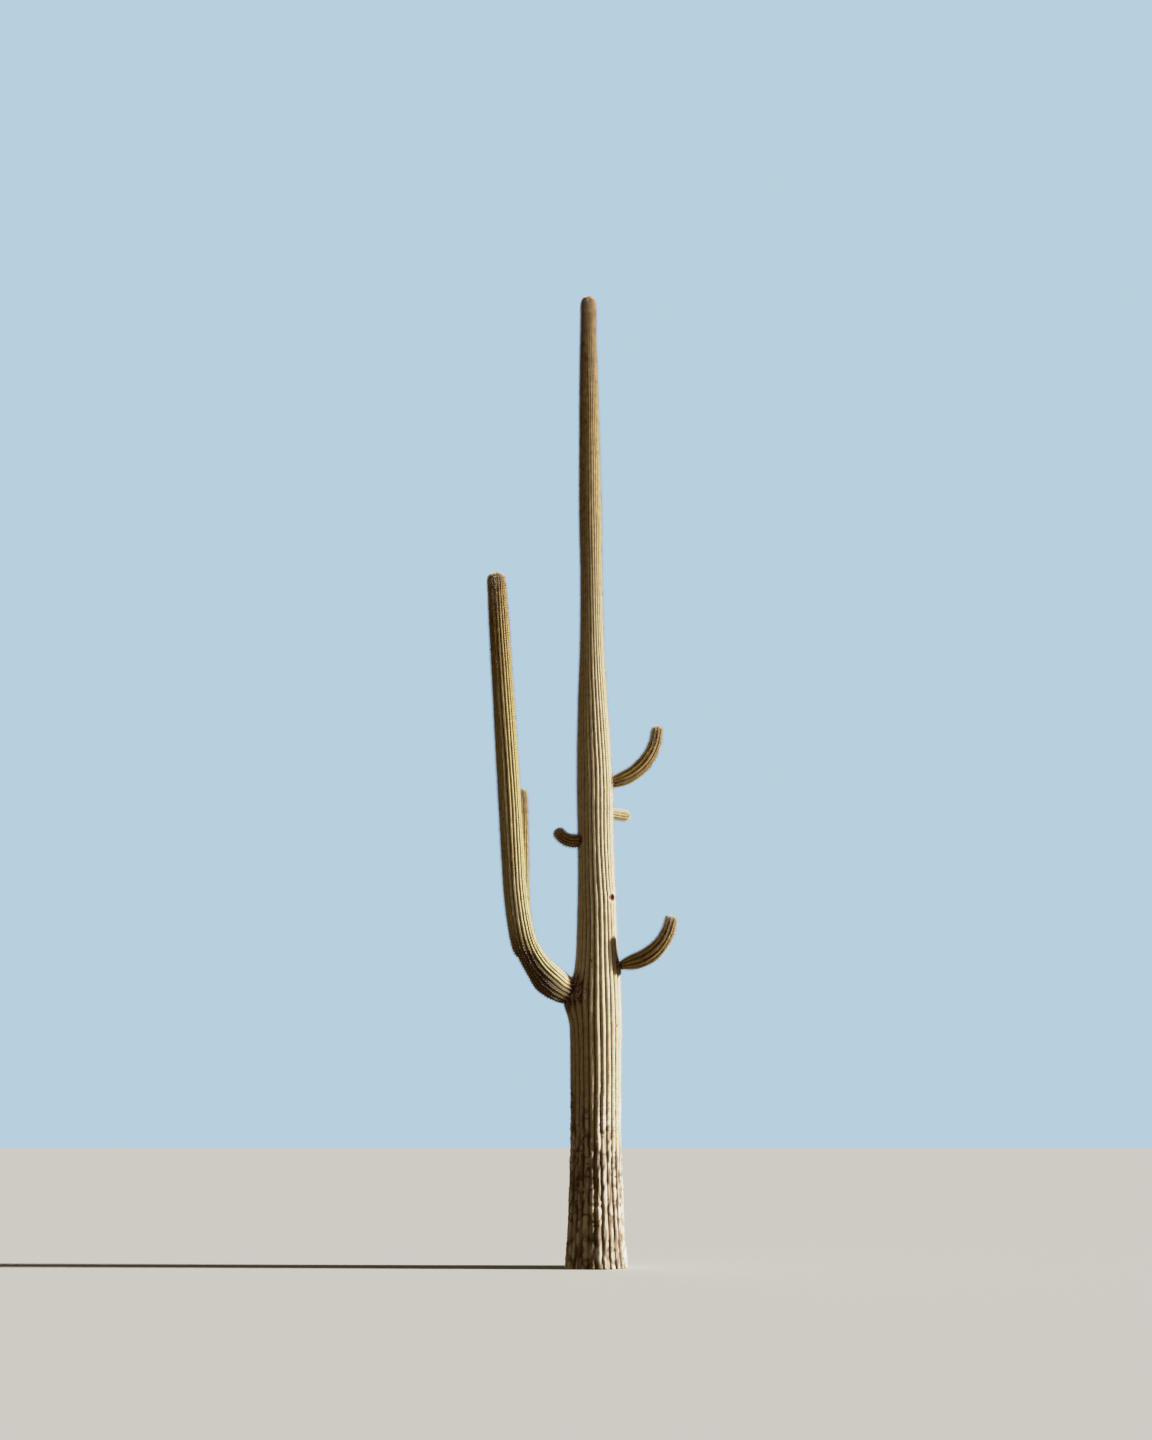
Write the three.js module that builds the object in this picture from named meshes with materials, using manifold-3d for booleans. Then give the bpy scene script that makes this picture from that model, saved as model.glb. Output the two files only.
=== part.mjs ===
// A saguaro cactus twelve metres tall: one ribbed trunk with a long arm at the front left, a thinner
// arm behind it, two curved arms on the right, and two short young arms part of the way up.
// Millimetres, +Z up, with the origin where the trunk's axis meets level ground.
import * as THREE from 'three';
import Module from 'manifold-3d';

// Driving dimensions of the trunk, from the flat cut at the ground to the shoulder of its tip:
// height, diameter over the rib crests, and how far the axis leans to the right
const trunkStations = [
  [0, 735, 0],
  [150, 705, 0],
  [420, 672, 0],
  [1000, 632, 0],
  [1700, 608, 0],
  [2350, 615, 2],
  [2790, 622, 6],
  [3100, 590, 14],
  [3480, 522, 18],
  [4200, 472, 20],
  [4850, 441, 8],
  [5450, 447, 0],
  [6030, 421, -13],
  [6660, 368, -26],
  [7290, 311, -32],
  [8200, 282, -38],
  [9000, 290, -48],
  [10300, 258, -62],
  [11270, 236, -72],
  [11860, 221, -69],
];
const trunkTipHeight = 12010;
const trunkRibs = 26;
const trunkPointsPerRib = 4;

// Ribs fade into corky bark towards the ground
const ribDepthShare = 0.42;
const corkTop = 2000;
const corkRibShare = 0.35;

// Limbs and trunk stand this far apart where they meet
const touchGap = 0.3;
// The furrows' walls slope, so the cut is grown by more than the gap it leaves
const cutGrowth = 0.45;

// Each limb leaves the trunk's axis in a vertical plane. Its bearing turns anticlockwise from +X, seen
// from above. Its root lies inside the trunk, at a reach from the axis and a height, and it sets out
// at an angle above level. Then it runs straight or bends, step by step, with the rings of each step.
// Its girth gives the diameter over the crests at a distance along the limb from the root.
const leftArm = {
  bearing: 206,
  axisLean: 4,
  root: { reach: 100, height: 3052, rise: 14 },
  elbow: [
    { straight: 225, rings: 4 },
    { bendRadius: 880, rise: 76, rings: 9 },
  ],
  upright: [
    { bendRadius: 3800, rise: 85.8, rings: 2 },
    { straight: 3617, rings: 6 },
  ],
  tipLength: 105,
  girth: [
    [0, 410], [165, 455], [225, 415], [290, 350], [400, 380], [520, 396], [740, 370], [960, 340],
    [1220, 312], [1600, 292], [2200, 286], [3300, 279], [4000, 267], [4600, 257], [5450, 250],
  ],
  ribs: 20,
};

const rearArm = {
  bearing: 139,
  axisLean: 14,
  root: { reach: 110, height: 3110, rise: 20 },
  elbow: [
    { straight: 394, rings: 3 },
    { bendRadius: 1060, rise: 80, rings: 7 },
  ],
  upright: [
    { bendRadius: 2800, rise: 89, rings: 2 },
    { straight: 1115, rings: 3 },
  ],
  tipLength: 95,
  girth: [[0, 150], [220, 160], [340, 172], [1100, 178], [1700, 182], [2900, 177]],
  ribs: 13,
};

const lowerRightArm = {
  bearing: -10,
  axisLean: 16,
  root: { reach: 100, height: 3373, rise: 15 },
  limb: [
    { straight: 380, rings: 4 },
    { bendRadius: 580, rise: 72, rings: 6 },
    { straight: 60, rings: 1 },
  ],
  tipLength: 95,
  girth: [[0, 150], [200, 104], [255, 142], [340, 188], [480, 210], [700, 202], [900, 186], [1100, 164]],
  ribs: 12,
};

const upperRightArm = {
  bearing: 8,
  axisLean: -5,
  root: { reach: 60, height: 5570, rise: 22 },
  limb: [
    { straight: 290, rings: 3 },
    { bendRadius: 720, rise: 84, rings: 7 },
  ],
  tipLength: 90,
  girth: [[0, 150], [170, 130], [225, 158], [367, 184], [500, 188], [660, 185], [870, 178], [1069, 164]],
  ribs: 12,
};

const rightBudArm = {
  bearing: 40,
  axisLean: 2,
  root: { reach: 60, height: 5276, rise: 0 },
  limb: [{ straight: 410, rings: 4 }],
  tipLength: 85,
  girth: [[0, 146], [190, 136], [310, 150], [410, 146]],
  ribs: 12,
};

const leftStubArm = {
  bearing: 192,
  axisLean: 14,
  root: { reach: 60, height: 4921, rise: -4 },
  limb: [
    { straight: 225, rings: 3 },
    { bendRadius: 180, rise: 55, rings: 5 },
  ],
  tipLength: 78,
  girth: [[0, 180], [170, 184], [260, 178], [420, 160]],
  ribs: 12,
};

const limbPointsPerRib = 3;
// Shares of the rounded tip's length at which its rings stand, and how blunt it is: 0.5 is an ellipse
const tipSteps = [0.45, 0.76, 0.95];
const tipBluntness = 0.38;

const radians = THREE.MathUtils.degToRad;
const up = new THREE.Vector3(0, 0, 1);

const manifoldLibrary = await Module();
manifoldLibrary.setup();

// Diameter at a distance along a limb: a smooth curve through the rows of its girth
function diameterAt(girth, distance) {
  const last = girth.length - 1;
  const next = girth.findIndex(([rowDistance]) => rowDistance > distance);
  if (next < 0) {
    return girth[last][1];
  }
  const row = next - 1;
  const slopeAt = (index) => {
    const before = girth[Math.max(index - 1, 0)];
    const after = girth[Math.min(index + 1, last)];
    return (after[1] - before[1]) / (after[0] - before[0]);
  };
  const span = girth[next][0] - girth[row][0];
  const share = (distance - girth[row][0]) / span;
  const rise = share * share * (3 - 2 * share);
  return girth[row][1] * (1 - rise)
    + girth[next][1] * rise
    + slopeAt(row) * span * share * (1 - share) * (1 - share)
    - slopeAt(next) * span * share * share * (1 - share);
}

// Depth of a furrow between two crests, in step with how far apart the ribs stand
function furrowDepth(radius, ribCount) {
  return ribDepthShare * radius * 2 * Math.PI / ribCount;
}

// Points of one ring, with round crests and narrow furrows
function ringPoints(ring, ribCount, pointsPerRib) {
  const points = [];
  const count = ribCount * pointsPerRib;
  for (let step = 0; step < count; step += 1) {
    const acrossRib = (step % pointsPerRib) / pointsPerRib;
    const radius = ring.radius - ring.furrow * (1 - Math.sin(Math.PI * acrossRib));
    const turn = 2 * Math.PI * step / count;
    const point = ring.centre.clone();
    point.addScaledVector(ring.side, radius * Math.cos(turn));
    point.addScaledVector(ring.over, radius * Math.sin(turn));
    points.push(point);
  }
  return points;
}

// Closed skin over a row of rings, flat at its first ring, and pointed or flat at the last
function skinOver(rings, ribCount, pointsPerRib, endPoint) {
  const count = ribCount * pointsPerRib;
  const points = rings.flatMap((ring) => ringPoints(ring, ribCount, pointsPerRib));
  const faces = [];
  for (let row = 0; row < rings.length - 1; row += 1) {
    for (let step = 0; step < count; step += 1) {
      const here = row * count + step;
      const beside = row * count + (step + 1) % count;
      faces.push(here, beside, here + count);
      faces.push(beside, beside + count, here + count);
    }
  }
  const startCentre = points.length;
  points.push(rings[0].centre);
  const endCentre = points.length;
  points.push(endPoint);
  const lastRow = (rings.length - 1) * count;
  for (let step = 0; step < count; step += 1) {
    const beside = (step + 1) % count;
    faces.push(startCentre, beside, step);
    faces.push(endCentre, lastRow + step, lastRow + beside);
  }
  return new THREE.BufferGeometry().setFromPoints(points).setIndex(faces);
}

// Rings of a rounded tip that carry on from the last ring of a stem
function tipRings(shoulder, direction, tipLength) {
  return tipSteps.map((share) => {
    const shrink = (1 - share * share) ** tipBluntness;
    return {
      ...shoulder,
      centre: shoulder.centre.clone().addScaledVector(direction, tipLength * share),
      radius: shoulder.radius * shrink,
      furrow: shoulder.furrow * shrink,
    };
  });
}

// The whole trunk, grown outwards by a little where it serves to cut the limbs
function trunkGeometry(growth) {
  const side = new THREE.Vector3(1, 0, 0);
  const over = new THREE.Vector3(0, 1, 0);
  const rings = trunkStations.map(([height, diameter, lean]) => {
    const fade = Math.min(height / corkTop, 1);
    const ribShare = corkRibShare + (1 - corkRibShare) * fade;
    return {
      centre: new THREE.Vector3(lean, 0, height),
      side,
      over,
      radius: diameter / 2 + growth,
      furrow: furrowDepth(diameter / 2, trunkRibs) * ribShare,
    };
  });
  const shoulder = rings[rings.length - 1];
  const tipLength = trunkTipHeight - shoulder.centre.z;
  rings.push(...tipRings(shoulder, up, tipLength));
  const tip = shoulder.centre.clone().addScaledVector(up, tipLength);
  return skinOver(rings, trunkRibs, trunkPointsPerRib, tip);
}

// A limb's centreline in its own plane: x is the reach from the trunk's axis, y the height
function limbCurves(steps, start) {
  const pen = { ...start };
  return steps.map((step) => {
    const from = new THREE.Vector2(pen.reach, pen.height);
    let curve;
    if (step.straight) {
      const run = new THREE.Vector2(step.straight, 0).rotateAround(new THREE.Vector2(), radians(pen.rise));
      curve = new THREE.LineCurve(from, from.clone().add(run));
    } else {
      const centreReach = pen.reach - step.bendRadius * Math.sin(radians(pen.rise));
      const centreHeight = pen.height + step.bendRadius * Math.cos(radians(pen.rise));
      const startTurn = radians(pen.rise - 90);
      const endTurn = radians(step.rise - 90);
      curve = new THREE.EllipseCurve(
        centreReach, centreHeight, step.bendRadius, step.bendRadius, startTurn, endTurn,
      );
      pen.rise = step.rise;
    }
    const end = curve.getPoint(1);
    pen.reach = end.x;
    pen.height = end.y;
    return { curve, rings: step.rings, end: { ...pen } };
  });
}

// Rings along a limb's curves, each square to the centreline
function limbRings(limb, curves, startDistance) {
  const outward = new THREE.Vector3(1, 0, 0).applyAxisAngle(up, radians(limb.bearing));
  const side = new THREE.Vector3().crossVectors(up, outward);
  const rings = [];
  let distance = startDistance;
  curves.forEach(({ curve, rings: ringCount }, index) => {
    const length = curve.getLength();
    const first = index === 0 ? 0 : 1;
    for (let step = first; step <= ringCount; step += 1) {
      const share = step / ringCount;
      const place = curve.getPoint(share);
      const heading = curve.getTangent(share);
      const along = outward.clone().multiplyScalar(heading.x).addScaledVector(up, heading.y);
      const radius = diameterAt(limb.girth, distance + length * share) / 2;
      const centre = outward.clone().multiplyScalar(place.x).addScaledVector(up, place.y);
      centre.x += limb.axisLean;
      rings.push({
        centre,
        along,
        side,
        over: new THREE.Vector3().crossVectors(along, side),
        radius,
        furrow: furrowDepth(radius, limb.ribs),
      });
    }
    distance += length;
  });
  return { rings, distance };
}

// The last stretch of a limb ends in a rounded tip
function limbWithTip(limb, rings) {
  const shoulder = rings[rings.length - 1];
  const tip = shoulder.centre.clone().addScaledVector(shoulder.along, limb.tipLength);
  const allRings = [...rings, ...tipRings(shoulder, shoulder.along, limb.tipLength)];
  return skinOver(allRings, limb.ribs, limbPointsPerRib, tip);
}

function toSolid(geometry) {
  const { Manifold, Mesh } = manifoldLibrary;
  return new Manifold(new Mesh({
    numProp: 3,
    vertProperties: new Float32Array(geometry.attributes.position.array),
    triVerts: new Uint32Array(geometry.index.array),
  }));
}

function toGeometry(solid) {
  const mesh = solid.getMesh();
  const geometry = new THREE.BufferGeometry();
  geometry.setAttribute('position', new THREE.BufferAttribute(mesh.vertProperties, 3));
  geometry.setIndex(new THREE.BufferAttribute(mesh.triVerts, 1));
  return geometry;
}

const trunkCutter = toSolid(trunkGeometry(cutGrowth));

// A limb's root follows the trunk's own ribs: what lies inside the trunk is cut away
function cutAtTrunk(geometry) {
  const pieces = toSolid(geometry).subtract(trunkCutter).decompose();
  pieces.sort((one, other) => other.volume() - one.volume());
  return toGeometry(pieces[0]);
}

const skins = {
  trunk: new THREE.MeshStandardMaterial({ color: 0x6f6a4c, roughness: 0.85 }),
  arm: new THREE.MeshStandardMaterial({ color: 0x85804f, roughness: 0.8 }),
  youngArm: new THREE.MeshStandardMaterial({ color: 0x9a8c5a, roughness: 0.8 }),
};

const saguaro = new THREE.Group();

function addPiece(name, geometry, skin) {
  geometry.computeVertexNormals();
  const piece = new THREE.Mesh(geometry, skin);
  piece.name = name;
  saguaro.add(piece);
}

// A long arm bends round a wide gap, so it is two solids that meet just past the bend
function addBentArm(name, limb, skin) {
  const elbowCurves = limbCurves(limb.elbow, limb.root);
  const elbow = limbRings(limb, elbowCurves, 0);
  const joint = elbowCurves[elbowCurves.length - 1].end;
  const uprightCurves = limbCurves(limb.upright, joint);
  const upright = limbRings(limb, uprightCurves, elbow.distance);
  const elbowEnd = elbow.rings[elbow.rings.length - 1];
  const elbowSkin = skinOver(elbow.rings, limb.ribs, limbPointsPerRib, elbowEnd.centre);
  addPiece(`${name}_elbow`, cutAtTrunk(elbowSkin), skin);
  upright.rings[0].centre.addScaledVector(upright.rings[0].along, touchGap);
  addPiece(`${name}_upright`, limbWithTip(limb, upright.rings), skin);
}

function addShortArm(name, limb, skin) {
  const curves = limbCurves(limb.limb, limb.root);
  const { rings } = limbRings(limb, curves, 0);
  addPiece(name, cutAtTrunk(limbWithTip(limb, rings)), skin);
}

addPiece('trunk', trunkGeometry(0), skins.trunk);
addBentArm('left_arm', leftArm, skins.arm);
addBentArm('rear_arm', rearArm, skins.arm);
addShortArm('lower_right_arm', lowerRightArm, skins.arm);
addShortArm('upper_right_arm', upperRightArm, skins.arm);
addShortArm('right_bud_arm', rightBudArm, skins.youngArm);
addShortArm('left_stub_arm', leftStubArm, skins.youngArm);

export default saguaro;
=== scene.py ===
# A saguaro cactus twelve metres tall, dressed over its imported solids.
# Metres, +Z up, with the origin where the trunk's axis meets level ground.
import math

import bpy
import numpy as np
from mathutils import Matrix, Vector


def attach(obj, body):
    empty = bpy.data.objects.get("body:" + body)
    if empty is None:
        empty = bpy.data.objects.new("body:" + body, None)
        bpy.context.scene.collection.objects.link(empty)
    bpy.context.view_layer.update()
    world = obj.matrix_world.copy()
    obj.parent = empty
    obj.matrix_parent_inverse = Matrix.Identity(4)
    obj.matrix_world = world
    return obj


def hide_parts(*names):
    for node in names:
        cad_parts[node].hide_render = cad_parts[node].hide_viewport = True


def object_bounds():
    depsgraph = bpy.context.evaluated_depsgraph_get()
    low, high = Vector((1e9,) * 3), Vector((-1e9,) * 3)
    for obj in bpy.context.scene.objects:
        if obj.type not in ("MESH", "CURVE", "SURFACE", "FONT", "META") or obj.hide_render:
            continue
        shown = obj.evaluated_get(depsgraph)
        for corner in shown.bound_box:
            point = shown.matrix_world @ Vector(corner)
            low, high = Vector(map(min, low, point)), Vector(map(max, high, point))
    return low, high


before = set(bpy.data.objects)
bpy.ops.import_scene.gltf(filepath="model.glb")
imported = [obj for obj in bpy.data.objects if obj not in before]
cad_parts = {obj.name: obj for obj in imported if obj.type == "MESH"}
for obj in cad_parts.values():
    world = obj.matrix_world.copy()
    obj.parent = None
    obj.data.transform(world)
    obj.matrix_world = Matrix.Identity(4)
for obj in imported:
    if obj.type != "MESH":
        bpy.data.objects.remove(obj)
cad_low, cad_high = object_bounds()
scene = bpy.context.scene


# Camera
# It stands at standing eye height, some twenty metres off, and looks up a little, which sets the
# plant's foot low in the upright frame.
eye_place = (-0.228, -21.6, 1.42)
eye_pitch = 13.0
lens_mm = 45.45
sensor_width_mm = 36.0
farthest_seen = 400.0

camera = bpy.data.objects.new("camera", bpy.data.cameras.new("camera"))
camera.data.lens = lens_mm
camera.data.sensor_width = sensor_width_mm
camera.data.clip_end = farthest_seen
camera.location = eye_place
camera.rotation_euler = (math.radians(90 + eye_pitch), 0.0, 0.0)
scene.collection.objects.link(camera)
scene.camera = camera


# Studio light
# The key lamp stands low on the right, where the photograph's light comes from, and a weak lamp
# lights the back. Broad weak lamps overhead, in front and below open the shadows, and the pale
# surround is only seen.
def linear(hex_colour):
    """An sRGB hex colour as linear red, green, blue and alpha."""
    shares = [int(hex_colour[place:place + 2], 16) / 255 for place in (1, 3, 5)]
    colour = [share / 12.92 if share <= 0.04045 else ((share + 0.055) / 1.055) ** 2.4 for share in shares]
    return colour + [1.0]


def add_node(tree, kind, inputs=None, **settings):
    """One node with its settings, and each input joined to an output or set to a value."""
    node = tree.nodes.new(kind)
    for setting, value in settings.items():
        setattr(node, setting, value)
    for socket, value in (inputs or {}).items():
        if isinstance(value, bpy.types.NodeSocket):
            tree.links.new(value, node.inputs[socket])
        else:
            node.inputs[socket].default_value = value
    return node


def add_lamp(name, towards_lamp, strength, wide_degrees, colour):
    """A lamp far off, in the direction given from the plant, as wide as the angle."""
    lamp = bpy.data.lights.new(name, "SUN")
    lamp.energy = strength
    lamp.angle = math.radians(wide_degrees)
    lamp.color = linear(colour)[:3]
    holder = bpy.data.objects.new(name, lamp)
    holder.rotation_euler = Vector(towards_lamp).to_track_quat("Z", "Y").to_euler()
    scene.collection.objects.link(holder)


add_lamp("key_light", (0.935, -0.05, 0.35), 11.0, 3.0, "#fffaf3")
add_lamp("overhead_light", (0.0, 0.0, 1.0), 0.34, 180.0, "#e6cb9e")
add_lamp("fill_light", (0.05, -1.0, -0.05), 0.21, 100.0, "#e4c79a")
add_lamp("back_light", (-0.3, 1.0, 0.02), 1.1, 3.0, "#f3e4cb")
add_lamp("low_light", (-0.15, -0.35, -0.92), 0.35, 100.0, "#d9b47e")

world = bpy.data.worlds.new("studio")
world.use_nodes = True
world.node_tree.nodes.clear()
surround = add_node(world.node_tree, "ShaderNodeBackground", {"Color": linear("#b9ddfe"), "Strength": 1.0})
add_node(world.node_tree, "ShaderNodeOutputWorld", {"Surface": surround.outputs[0]})
scene.world = world
world.cycles_visibility.diffuse = False
world.cycles_visibility.glossy = False

# The picture's highlights roll off as a photograph's do, from the knee up to the brightest light
knee = 0.45
brightest = 4.0
steps_of_light = 24


def rolled_off(light):
    """The light that the picture shows, of which each step past the knee gives less."""
    past_knee = (light - knee) / (1 - knee)
    return knee + (1 - knee) * past_knee / (1 + past_knee)


view = scene.view_settings
view.view_transform = "Standard"
view.use_curve_mapping = True
view.curve_mapping.white_level = (brightest, brightest, brightest)
shoulder = view.curve_mapping.curves[3]
for light in np.linspace(knee, brightest, steps_of_light)[:-1]:
    shoulder.points.new(light / brightest, rolled_off(light))
shoulder.points[len(shoulder.points) - 1].location = (1.0, rolled_off(brightest))
for point in shoulder.points:
    point.handle_type = "VECTOR"
view.curve_mapping.update()


# Floor
# A plain studio floor of pale matt paint, rolled on smooth concrete. It is part of the studio, not of
# the plant.
floor_half_side = 300.0


def add_mesh(name, points, triangles, materials, smooth=True, tints=None):
    """An object from arrays of points and triangles, with a tint's number for each triangle."""
    mesh = bpy.data.meshes.new(name)
    mesh.vertices.add(len(points))
    mesh.vertices.foreach_set("co", np.ascontiguousarray(points, np.float32).ravel())
    mesh.loops.add(triangles.size)
    mesh.loops.foreach_set("vertex_index", np.ascontiguousarray(triangles, np.int32).ravel())
    mesh.polygons.add(len(triangles))
    mesh.polygons.foreach_set("loop_start", np.arange(0, triangles.size, 3, dtype=np.int32))
    for material in materials:
        mesh.materials.append(material)
    if tints is not None:
        mesh.polygons.foreach_set("material_index", np.ascontiguousarray(tints, np.int32))
    mesh.polygons.foreach_set("use_smooth", np.full(len(triangles), smooth))
    mesh.update(calc_edges=True)
    mesh.validate()
    piece = bpy.data.objects.new(name, mesh)
    scene.collection.objects.link(piece)
    return piece


def new_material(name, settings):
    """A material, its tree and the shader that it ends in, with the settings on the shader's sockets."""
    material = bpy.data.materials.new(name)
    material.use_nodes = True
    tree = material.node_tree
    tree.nodes.clear()
    shader = add_node(tree, "ShaderNodeBsdfPrincipled", settings)
    add_node(tree, "ShaderNodeOutputMaterial", {"Surface": shader.outputs[0]})
    return material, tree, shader


def floor_paint():
    """Matt emulsion: even, pale and without gloss."""
    settings = {"Base Color": linear("#c0c0be"), "Roughness": 0.9, "Specular IOR Level": 0.0}
    return new_material("floor_matt_paint", settings)[0]


floor_corners = floor_half_side * np.array([(-1, -1, 0), (1, -1, 0), (1, 1, 0), (-1, 1, 0)], float)
floor_halves = np.array([(0, 1, 2), (0, 2, 3)])
floor = add_mesh("studio_floor", floor_corners, floor_halves, [floor_paint()], smooth=False)
# The low lamp shines through the floor, in place of the light that the floor would throw back
floor.visible_diffuse = False
floor.visible_glossy = False
floor.visible_shadow = False


# Trunk
# The real trunk is a ribbed column of living tissue under a waxy skin, bleached to tan along the
# crests. Its foot has aged to a corky bark, where the ribs fade and break up.
# Height, diameter over the spines and how far the axis leans to the right
trunk_stations = np.array([
    (0.000, 0.735, 0.000), (0.150, 0.705, 0.000), (0.420, 0.672, 0.000), (1.000, 0.632, 0.000),
    (1.700, 0.608, 0.000), (2.350, 0.615, 0.002), (2.790, 0.622, 0.006), (3.100, 0.590, 0.014),
    (3.480, 0.522, 0.018), (4.200, 0.472, 0.020), (4.850, 0.441, 0.008), (5.450, 0.447, 0.000),
    (6.030, 0.421, -0.013), (6.660, 0.368, -0.026), (7.290, 0.311, -0.032), (8.200, 0.282, -0.038),
    (9.000, 0.290, -0.048), (10.300, 0.258, -0.062), (11.270, 0.236, -0.072), (11.860, 0.221, -0.069),
])
trunk_shoulder = trunk_stations[-1, 0]
trunk_top = cad_high.z
trunk_ribs = 26
trunk_tip_rows = 12
# Where points stand across one rib: 0 is the furrow before it, 0.5 its crest
across_rib = np.array([0.0, 0.06, 0.16, 0.3, 0.5, 0.7, 0.84, 0.94])
crest_point = 4
rib_depth_share = 0.47
# How far the ribs have twisted round the trunk at a height, in degrees
rib_twist = np.array([
    (0.0, 5.0), (2.2, 5.0), (3.4, 0.0), (3.9, 1.0), (4.5, -3.0), (5.1, -4.0), (5.8, -2.0), (6.4, -8.0),
    (12.0, -8.0),
])
# Shares of their pitch by which ribs wander and slowly drift, and of their depth by which it changes
rib_wander = 0.11
rib_drift = 0.5
rib_depth_sway = 0.22
# Height of the waves along the crests and all over the skin
crest_relief = 0.0028
skin_relief = 0.0016
# How blunt a rounded tip is: 1 is an ellipse
tip_bluntness = 0.88
cork_top = 2.0
cork_rib_share = 0.55
cork_edge_height = 1.75
cork_edge_sway = 0.55
crack_depth = 0.007
flake_height = 0.003
# The skin lies this far inside the outline that the spines give
spine_room = 0.009
spine_room_at_tip = 0.023
# Rows of points stand this far apart in the cork, in the skin above it, and beside the nest hole
cork_row_spacing = 0.018
skin_row_spacing = 0.034
hole_row_spacing = 0.008
# Heights where the cork's rows end and the skin's begin, and how far the hole's reach up and down
cork_rows_end = 2.5
skin_rows_start = 2.51
hole_rows_reach = 0.1
# The nest hole that a woodpecker cut, and small pits in the skin: bearing from +X, height, radius, depth
nest_hole = {"bearing": -37.0, "height": 4.22, "radius": 0.030, "depth": 0.085}
# Scar tissue round the hole reaches this far and stands this proud
collar_radius = 0.075
collar_height = 0.006
trunk_pits = [(-107.0, 3.455, 0.017, 0.016), (-73.6, 7.196, 0.014, 0.012), (-32.6, 2.721, 0.018, 0.018)]
# The trunk swells where a limb leaves it: bearing, height, how far it swells, over what radius, and
# over what distance it falls off on the side of larger bearings
root_swells = [
    (206, 3.02, 0.13, 0.16, 0.14), (214, 3.16, 0.03, 0.12, 0.12), (139, 3.10, 0.030, 0.13, 0.13),
    (-10, 3.38, 0.030, 0.10, 0.10), (8, 5.62, 0.022, 0.09, 0.09), (40, 5.27, 0.015, 0.08, 0.08),
    (192, 4.90, 0.016, 0.08, 0.08),
]
upward = np.array((0.0, 0.0, 1.0))
noise_lattice = np.random.default_rng(11).uniform(-1, 1, (32, 32, 32))


def lumps(places, cell, shift=0.0):
    """Smooth noise between -1 and 1, whose swells are about one cell across. Each use has its shift."""
    scaled = places / np.array(cell, float) + shift
    whole = np.floor(scaled).astype(int)
    part = scaled - whole
    part = part * part * (3 - 2 * part)
    total = np.zeros(places.shape[:-1])
    for corner in np.ndindex(2, 2, 2):
        weight = np.prod(np.where(np.array(corner, bool), part, 1 - part), axis=-1)
        index = np.moveaxis((whole + corner) % len(noise_lattice), -1, 0)
        total += weight * noise_lattice[tuple(index)]
    return total


def smooth_steps(low, high, values):
    """0 below the low value, 1 above the high one, and a soft step between them."""
    share = np.clip((values - low) / (high - low), 0, 1)
    return share * share * (3 - 2 * share)


def profile(rows, places):
    """A smooth curve through rows of place and value, read at the places."""
    slopes = np.gradient(rows[:, 1], rows[:, 0], edge_order=1)
    row = np.clip(np.searchsorted(rows[:, 0], places, side="right") - 1, 0, len(rows) - 2)
    span = rows[row + 1, 0] - rows[row, 0]
    share = np.clip((places - rows[row, 0]) / span, 0, 1)
    rise = share * share * (3 - 2 * share)
    lift = slopes[row] * span * share * (1 - share) ** 2
    drop = slopes[row + 1] * span * share ** 2 * (1 - share)
    return rows[row, 1] * (1 - rise) + rows[row + 1, 1] * rise + lift - drop


def compass(bearing):
    """The level directions at a bearing and a quarter turn anticlockwise from it."""
    turn = math.radians(bearing)
    return (np.array((math.cos(turn), math.sin(turn), 0.0)),
            np.array((-math.sin(turn), math.cos(turn), 0.0)))


def turned(first, second, turn):
    """The first direction, turned towards the second one by an angle in radians."""
    return first * np.cos(turn)[..., None] + second * np.sin(turn)[..., None]


def circle(count):
    """Angles evenly round a circle."""
    return np.linspace(0, 2 * math.pi, count, endpoint=False)


def with_tip(rings, tip_length, tip_rows):
    """Rings of a stem, carried on over a rounded tip."""
    last = {name: values[-1] for name, values in rings.items()}
    turns = np.linspace(0, math.radians(86), tip_rows + 1)[1:]
    reach = tip_length * np.sin(turns)[:, None]
    shrink = np.cos(turns) ** tip_bluntness
    arc = np.cumsum(np.hypot(np.diff(np.append(0, reach)), np.diff(np.append(1, shrink)) * last["radius"]))
    tip = {
        "centre": last["centre"] + last["along"] * reach,
        "radius": last["radius"] * shrink,
        "depth": last["depth"] * shrink,
        "distance": last["distance"] + arc,
        "twist": np.full(tip_rows, last["twist"]),
    }
    for name in ("side", "over", "along"):
        tip[name] = np.tile(last[name], (tip_rows, 1))
    joined = {name: np.concatenate([rings[name], tip[name]]) for name in rings}
    joined["apex"] = last["centre"] + last["along"] * tip_length
    return joined


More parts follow.
